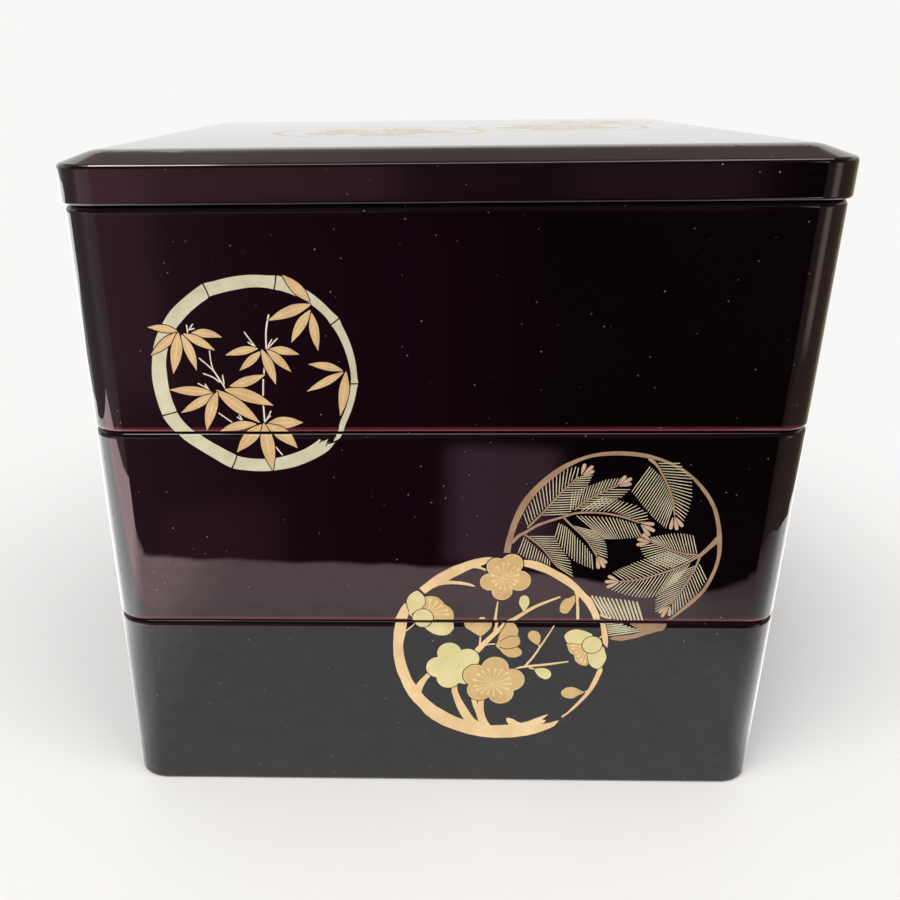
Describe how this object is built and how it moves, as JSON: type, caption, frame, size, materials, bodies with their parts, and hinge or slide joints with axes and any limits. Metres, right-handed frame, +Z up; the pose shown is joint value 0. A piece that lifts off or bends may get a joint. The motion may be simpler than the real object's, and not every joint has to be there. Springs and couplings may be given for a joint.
{
  "type": "stacking food box",
  "caption": "Square stacking lacquer box: tiers nest on raised lips under a bevelled lid, gold botanical roundels across the front.",
  "frame": {"origin": "middle of the footprint, on the surface that the box stands on", "axes": "+Z up, the decorated front faces -Y, +X to the right seen from the front"},
  "size_m": [0.1968, 0.1968, 0.1883],
  "materials": {
    "red_black_lacquer": "high-gloss lacquer over wood, near-black red-brown",
    "bare_wood": "bare sawn wood, hidden in the joints",
    "maki_e_gold": "satin sprinkled gold powder in lacquer",
    "maki_e_pale_gold": "satin sprinkled pale gold powder in lacquer"
  },
  "bodies": {
    "bottom_tier": {"bottom_tier_front_wall": "red_black_lacquer", "bottom_tier_right_wall": "red_black_lacquer", "bottom_tier_back_wall": "red_black_lacquer", "bottom_tier_left_wall": "red_black_lacquer", "bottom_tier_floor_board": "red_black_lacquer", "bottom_tier_corner_tongues": "bare_wood"},
    "middle_tier": {"middle_tier_front_wall": "red_black_lacquer", "middle_tier_right_wall": "red_black_lacquer", "middle_tier_back_wall": "red_black_lacquer", "middle_tier_left_wall": "red_black_lacquer", "middle_tier_floor_board": "red_black_lacquer", "middle_tier_corner_tongues": "bare_wood"},
    "top_tier": {"top_tier_front_wall": "red_black_lacquer", "top_tier_right_wall": "red_black_lacquer", "top_tier_back_wall": "red_black_lacquer", "top_tier_left_wall": "red_black_lacquer", "top_tier_floor_board": "red_black_lacquer", "top_tier_corner_tongues": "bare_wood"},
    "lid": {"lid_panel": "red_black_lacquer", "lid_front_rim": "red_black_lacquer", "lid_right_rim": "red_black_lacquer", "lid_back_rim": "red_black_lacquer", "lid_left_rim": "red_black_lacquer", "lid_corner_tongues": "bare_wood"}
  },
  "joints": [
    {"name": "middle_tier_lift", "type": "slide", "parent": "bottom_tier", "child": "middle_tier", "axis": [0, 0, 1], "range_m": [0, 0.12]},
    {"name": "top_tier_lift", "type": "slide", "parent": "middle_tier", "child": "top_tier", "axis": [0, 0, 1], "range_m": [0, 0.12]},
    {"name": "lid_lift", "type": "slide", "parent": "top_tier", "child": "lid", "axis": [0, 0, 1], "range_m": [0, 0.12]}
  ]
}
